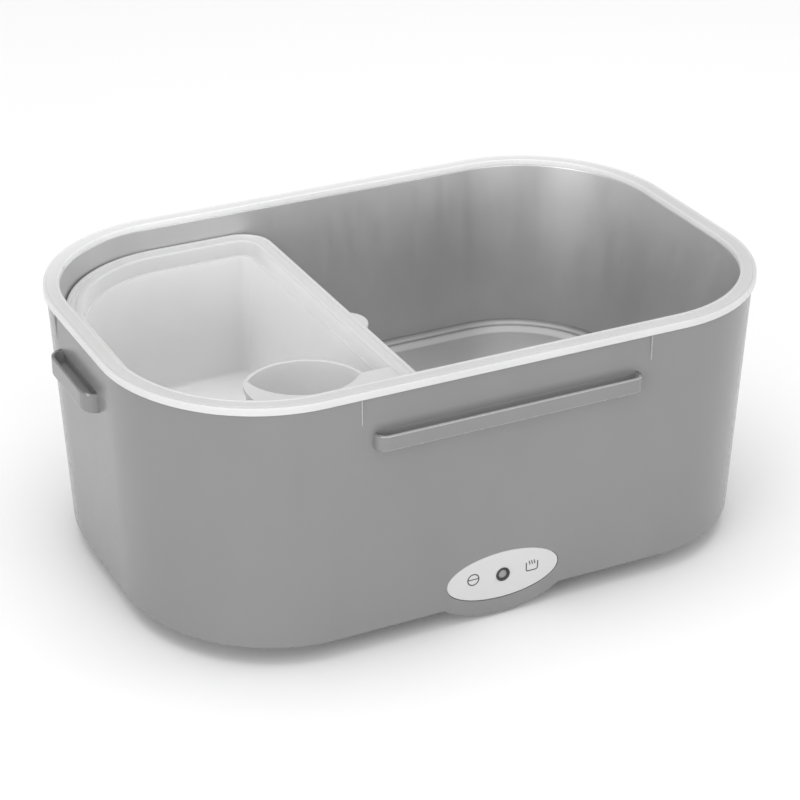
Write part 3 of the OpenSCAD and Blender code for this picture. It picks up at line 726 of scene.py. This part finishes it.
def make_tray():
    # pressed bead round the floor: steep outside, sloping gently to the middle
    bead = [(13.5, 0.0), (13.2, 0.02), (12.8, 0.1), (12.2, 0.27), (11.4, 0.52), (10.6, 0.76), (10.1, 0.91), (9.7, 1.01),
            (9.4, 1.04), (9.1, 1.0), (8.9, 0.86), (8.7, 0.55), (8.5, 0.24), (8.3, 0.06), (8.05, 0.0)]
    lean = math.atan2(4.9, 59.0)
    r0 = 2.6

    def corner(r, z0):
        out = []
        for k in range(11):
            a = (math.pi / 2 - lean) * k / 10
            out.append((7.4 - r * math.sin(a), z0 + r - r * math.cos(a)))
        return out
    inner = [(18.5, 24.5)] + [(d, 24.5 + h) for d, h in bead] + corner(r0, 24.5)
    d1, z1 = inner[-1]
    wall = [(d1 * (1 - (z - z1) / (86.9 - z1)), z) for z in (34, 44, 58, 72)]
    inner += wall + [(0, 86.9), (-0.2, 87.4), (-0.6, 87.5)]
    t = 0.5
    outer = [(-3.4, 87.5), (-3.4, 87.0), (-0.9, 87.0), (-0.6, 86.8), (-t, 86.4)] + [(d - t, z) for d, z in wall[::-1]]
    outer += corner(r0 + t, 24.0)[::-1] + [(d, 24.0 + h) for d, h in bead[::-1]] + [(18.5, 24.0)]
    top = BODY_H + 0.9
    rings = []
    for d, z in inner + outer:
        rings.append((tray(min(z, top) if d > -1 else top, d), z))
    ob = sweep("tray_drawn", rings)
    # painted light and shade: the floor bead takes its own toned copy of the steel, the wall-to-floor rounding a darker
    # copy that dims its reflection
    dress(ob, "tray")
    ob.data.materials.append(M["tray_bead"].m)
    ob.data.materials.append(M["tray_corner"].m)
    per = len(rings[0][0])
    if len(ob.data.polygons) == (len(rings) - 1) * per + 2:
        for f in ob.data.polygons:
            k = f.index // per
            if 1 <= k <= 8:
                f.material_index = 1
            elif len(bead) < k < len(bead) + 10:
                f.material_index = 2
    return tidy(ob, 40)


def make_rim():
    prof = soft([(5.5, 87.5), (5.5, 89.6, 0.28), (4.7, 89.6, 0.25), (4.55, 89.32, 0.15), (1.45, 89.3, 0.1),
                 (1.3, 89.06, 0.05), (0.95, 89.06, 0.05), (0.85, 89.26, 0.08), (0.0, 89.26, 0.75),
                 (0.0, 86.6, 0.35), (4.99, 86.6), (4.99, 86.99), (2.09, 86.99), (2.09, 87.5)], closed=True, steps=4)
    ob = tidy(skin("rim_moulded", rim, prof, closed=True), 40)
    dress(ob, "rim")
    # painted light: the rim's inward faces take a lighter copy of the rim plastic
    ob.data.materials.append(M["rim_inner"].m)
    for f in ob.data.polygons:
        if f.normal.z < 0.6 and f.normal.x * f.center.x + f.normal.y * f.center.y < 0:
            f.material_index = 1
    return ob


# ---------------------------------------------------------------------------
# clear insert with its ledge and pocket
# ---------------------------------------------------------------------------
def make_insert():
    under = soft([(19.5, 25.7), (17.9, 25.7, 0.2), (17.7, 24.6, 0.3), (16.0, 24.6, 0.4), (15.6, 25.7, 0.3),
                  (8.9, 25.7, 1.4), (6.05, 72.6, 0.2), (5.2, 72.6, 0.3), (4.65, 78.3, 0.3), (1.25, 78.3, 0.3),
                  (1.4, 77.0, 0.1), (0.25, 77.0, 0.2)], steps=3)[:-1]
    over = soft([(0.25, 77.0), (0.0, 79.9, 0.5), (1.35, 79.9, 0.25), (1.6, 79.15, 0.25), (3.3, 79.15, 0.3),
                 (3.6, 79.6, 0.25), (5.75, 79.6, 0.5), (6.35, 74.2, 0.3), (7.0, 74.0, 0.3), (9.3, 27.2, 2.6),
                 (14.0, 27.2, 0), (20.0, 27.2)], steps=5)
    wall_levels = []
    for p, q in zip(over, over[1:]):
        wall_levels.append(p)
        if p[1] - q[1] > 30:
            for k in range(1, 4):
                wall_levels.append((p[0] + (q[0] - p[0]) * k / 4, p[1] + (q[1] - p[1]) * k / 4))
    wall_levels.append(over[-1])
    low = []
    for p, q in zip(under, under[1:]):
        low.append(p)
        if q[1] - p[1] > 30:
            for k in range(1, 4):
                low.append((p[0] + (q[0] - p[0]) * k / 4, p[1] + (q[1] - p[1]) * k / 4))
    low.append(under[-1])
    ob = skin("insert_clear", ins, low + wall_levels)
    # lift tab
    n = 40
    x0, rt = INSERT_X - 5, 8.2

    def tab(d):
        pts = [(x0 + (rt - d) * math.cos(math.radians(-90 + 180 * i / n)),
                -12 + (rt - d) * math.sin(math.radians(-90 + 180 * i / n))) for i in range(n + 1)]
        return [(max(x, INSERT_X - 0.8), y) for x, y in pts]
    tp = soft([(2.0, FLANGE_Z - 1.7), (0, FLANGE_Z - 1.7, 0.5), (0, FLANGE_Z - 0.1, 0.6), (2.0, FLANGE_Z - 0.1)], steps=4)
    keep = [i for i in range(n + 1) if x0 + rt * math.cos(math.radians(-90 + 180 * i / n)) > INSERT_X - 0.9]
    rings = []
    for d, z in tp:
        full = tab(d)
        rings.append(([full[i] for i in keep], z))
    union(ob, sweep("tab", rings))
    tidy(ob, 34)
    dress(ob, "insert")
    # painted shade: the ledge faces take a darker copy of the insert plastic, and the inward step faces one that
    # darkens towards the back
    ob.data.materials.append(M["insert_ledge"].m)
    ob.data.materials.append(M["insert_step"].m)
    for f in ob.data.polygons:
        c = f.center * 1000
        z = c.z - STAND
        if 73.7 < z < 74.35:
            f.material_index = 1
        elif 74.3 < z < 79.1 and f.normal.x * (c.x - INSERT_X + 45) + f.normal.y * c.y < 0:
            f.material_index = 2
    return ob


def disc(cx, cy, r, z0, z1, n=128):
    return round_pin("disc", r, z0, z1, cx, cy, n=n)


def ball(cx, cy, cz, r, rows=72, n=128):
    rings = []
    for k in range(1, rows):
        a = math.pi * k / rows
        q = r * math.sin(a)
        rings.append(([(cx + q * math.cos(2 * math.pi * i / n), cy + q * math.sin(2 * math.pi * i / n)) for i in range(n)],
                      cz - r * math.cos(a)))
    return sweep("ball", rings)


def flared(cx, cy, r, z0, z1, fillet, n=128):
    """Upright cylinder that opens into a rounded mouth at the flange."""
    prof = [(r, z0)]
    for k in range(9):
        a = math.radians(90 * k / 8)
        prof.append((r + fillet * (1 - math.cos(a)), FLANGE_Z - fillet + fillet * math.sin(a)))
    prof.append((r + fillet, z1))
    rings = [([(cx + q * math.cos(2 * math.pi * i / n), cy + q * math.sin(2 * math.pi * i / n)) for i in range(n)], z)
             for q, z in prof]
    return sweep("flared", rings)


def pocket(t, top, fillet=0.0):
    ob = disc(SC[0], SC[1], 20.9 - t, 40, top)
    near = (SC[0] + 4.9, SC[1] + 15, 19.7 - t, 39, top + 1)
    for o in (disc(SC[0] + 2.1, SC[1] + 3.9, 20.5 - t, 39, top + 1),
              flared(*near, fillet) if fillet else disc(*near),
              ball(SC[0] + 3.1, SC[1] + 8.4, FLANGE_Z + 9, 27.1 - t)):
        boolean(ob, o, "INTERSECT")
    return ob


def make_scoop():
    inside = skin("inside", ins, [(9.4, FLOOR_Z + 4), (7.1, FLANGE_Z - 5.6), (6.3, FLANGE_Z - 5.4), (5.7, FLANGE_Z + 1)])
    top = disc(SC[0], SC[1], 20.9, FLANGE_Z - 1.4, FLANGE_Z)
    boolean(top, disc(SC[0] + 2.1, SC[1] + 3.9, 20.5, 60, 90), "INTERSECT")
    union(top, block("strip", SC[0], -90, FLANGE_Z - 1.4, 50, 90 + SC[1] + 2.4, 1.4))
    boolean(top, inside, "INTERSECT")
    union(top, pocket(0, FLANGE_Z))
    cut(top, pocket(1.1, FLANGE_Z + 1, 2.2))
    return top


# ---------------------------------------------------------------------------
# indicator
# ---------------------------------------------------------------------------
def make_plate():
    prof = soft([(6.0, 0.0), (0.0, 0.0, 0.15), (0.0, 1.0, 0.3), (6.0, 1.0)], steps=4)
    ob = sweep("plate_oval", [(ellipse(20.9 - d, 8.8 - d, 128), z) for d, z in prof],
               place=FRONT @ Matrix.Translation((LED_X, PLATE_Z, -1.1)))
    cut(ob, round_pin("b", 2.45, -5, 5, LED_X, PLATE_Z, place=FRONT, n=64))
    return tidy(ob, 35)


def turned(name, profile, place, n=72, closed=True):
    rings = [([(r * math.cos(2 * math.pi * i / n), r * math.sin(2 * math.pi * i / n)) for i in range(n)], z)
             for r, z in profile]
    return sweep(name, rings, closed=closed, place=place)


def make_bezel():
    prof = soft([(1.6, -4.3), (2.4, -4.3), (2.4, -0.08), (2.54, -0.08), (2.54, 0.2, 0.12), (1.95, 0.2, 0.12), (1.6, -0.05, 0.1)],
                closed=True, steps=4)
    return tidy(turned("bezel_ring", prof, FRONT @ Matrix.Translation((LED_X, PLATE_Z, 0))), 35)


def make_lens():
    prof = [(0.3, -2.6), (1.58, -2.6), (1.58, -0.32), (1.5, -0.2), (1.25, -0.1), (0.9, -0.03), (0.5, 0.0), (0.2, 0.01)]
    return tidy(turned("lens_dome", prof, FRONT @ Matrix.Translation((LED_X, PLATE_Z, 0)), closed=False), 45)


def stroke(name, path, w, closed, place, z0=-0.1, z1=-0.06):
    """Thin printed line of width w along a path in the plate's plane."""
    m = len(path)
    left, right = [], []
    for i, p in enumerate(path):
        a = path[(i - 1) % m] if closed or i > 0 else p
        b = path[(i + 1) % m] if closed or i < m - 1 else p
        t = Vector((b[0] - a[0], b[1] - a[1])).normalized()
        nrm = Vector((-t.y, t.x)) * w / 2
        left.append((p[0] + nrm.x, p[1] + nrm.y)); right.append((p[0] - nrm.x, p[1] - nrm.y))
    verts = [(x, y, z) for z in (z0, z1) for side in (left, right) for x, y in side]
    faces = []
    last = m if closed else m - 1
    for i in range(last):
        j = (i + 1) % m
        faces += [(i, j, m + j, m + i), (2 * m + i, 3 * m + i, 3 * m + j, 2 * m + j),
                  (i, 2 * m + i, 2 * m + j, j), (m + i, m + j, 3 * m + j, 3 * m + i)]
    if not closed:
        faces += [(0, m, 3 * m, 2 * m), (m - 1, 3 * m - 1, 4 * m - 1, 2 * m - 1)]
        faces[-1] = (m - 1, 2 * m + m - 1, 3 * m + m - 1, m + m - 1)
    return from_lists(name, verts, faces, place)


def make_marks():
    at = FRONT @ Matrix.Translation((LED_X, PLATE_Z, 0))
    lx, ly, r = -11.1, 0.75, 2.05
    ring = [(lx + r * math.cos(2 * math.pi * i / 40), ly + r * math.sin(2 * math.pi * i / 40)) for i in range(40)]
    parts = [stroke("m", ring, 0.42, True, at), stroke("m", [(lx - r + 0.1, ly + 0.1), (lx + r - 0.1, ly + 0.1)], 0.36, False, at)]
    rx, ry, h = 11.0, 0.6, 2.15
    cup = [(rx - h, ry + 1.4)]
    cup += [(rx - h + 0.8 + 0.8 * math.cos(math.radians(180 + 15 * i)), ry - 1.1 + 0.8 * math.sin(math.radians(180 + 15 * i))) for i in range(7)]
    cup += [(rx + h - 0.8 + 0.8 * math.cos(math.radians(270 + 15 * i)), ry - 1.1 + 0.8 * math.sin(math.radians(270 + 15 * i))) for i in range(7)]
    cup += [(rx + h, ry + 1.4)]
    parts.append(stroke("m", cup, 0.4, False, at))
    for k in (-1, 0, 1):
        wave = [(rx + 0.95 * k + 0.16 * math.sin(math.pi * j / 3), ry + 0.45 + 1.5 * j / 6) for j in range(7)]
        parts.append(stroke("m", wave, 0.36, False, at))
    return joined("indicator_marks", parts)


for n, key in KEPT.items():
    ob = nodes[n]
    dress(ob, key)
    ob.data.shade_smooth()
    ob.data.set_sharp_from_angle(angle=math.radians(35))


def place_piece(ob, body_name, slot, key, *replaced):
    if not ob.data.materials:
        dress(ob, key)
    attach(ob, body_name)
    if replaced:
        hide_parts(*replaced)


place_piece(make_shell(), "housing", "body_grey", "body", "outer_shell")
# painted highlight: the landing beads take the lighter edge copy of the shell plastic
place_piece(tidy(make_beads(), 50), "housing", "body_grey", "edge")
place_piece(make_well(), "housing", "well_grey", "well", "inner_well")
place_piece(make_plate(), "housing", "plate_light", "plate", "indicator_plate")
place_piece(make_marks(), "housing", "bezel_dark", "ink")
place_piece(make_bezel(), "housing", "bezel_dark", "bezel", "led_bezel")
place_piece(make_lens(), "housing", "lens_grey", "lens", "led_lens")
place_piece(make_tray(), "tray", "tray_steel", "tray", "steel_tray")
place_piece(make_rim(), "tray", "rim_clear", "rim", "tray_rim")
place_piece(make_insert(), "insert", "insert_clear", "insert", "insert_box")
place_piece(tidy(make_scoop(), 34), "insert", "insert_clear", "scoop", "insert_scoop")

# ---------------------------------------------------------------------------
# floor, light and camera
# ---------------------------------------------------------------------------
bpy.ops.mesh.primitive_grid_add(x_subdivisions=4, y_subdivisions=4, size=8.0, location=(0, 0, -0.0002))
floor = bpy.context.object
floor.name = "studio_floor"
fm = Mat("studio_floor_paper", (0.97, 0.97, 0.97, 1.0), 0.9)
fm.bump(fm.noise(400, 2.0), 0.0001, 0.1)
floor.data.materials.append(fm.m)

world = bpy.data.worlds.new("studio")
scene.world = world
world.use_nodes = True
world.node_tree.nodes["Background"].inputs["Color"].default_value = (1, 1, 1, 1)
world.node_tree.nodes["Background"].inputs["Strength"].default_value = 0.58


def area(name, loc, target, size, power, size_y=None):
    li = bpy.data.lights.new(name, "AREA")
    li.shape = "RECTANGLE"
    li.size, li.size_y = size, size_y or size
    li.energy = power
    ob = bpy.data.objects.new(name, li)
    scene.collection.objects.link(ob)
    ob.location = loc
    ob.rotation_euler = (Vector(target) - Vector(loc)).to_track_quat("-Z", "Y").to_euler()
    return ob


area("key_top", (-0.1, 0.1, 1.6), (0, 0, 0.05), 1.6, 12)
area("front_high", (-0.25, -1.2, 1.45), (0, 0, 0.05), 1.7, 3, 0.8)
area("front_left", (-1.35, -0.7, 0.42), (0, 0, 0.06), 0.9, 8, 0.7)
area("front_soft", (0.0, -1.7, 0.38), (0, 0, 0.06), 1.4, 8, 0.55)
area("right_fill", (1.5, -0.4, 0.4), (0, 0, 0.06), 0.8, 3.5)

scene.view_settings.view_transform = "Standard"
cam = bpy.data.cameras.new("photo_view")
cam.sensor_width = 36.0
cam.lens = 107.345171
cam.clip_end = 30
cam_ob = bpy.data.objects.new("photo_view", cam)
scene.collection.objects.link(cam_ob)
R = Vector((0.89687133, -0.44229155, 0.0))
U = Vector((0.20282214, 0.41127931, 0.8886577))
B = Vector((-0.3930458, -0.79701162, 0.45857114))
m = Matrix((R, U, B)).transposed().to_4x4()
m.translation = Vector((-0.330768, -0.669461, 0.430357))
cam_ob.matrix_world = m
scene.camera = cam_ob
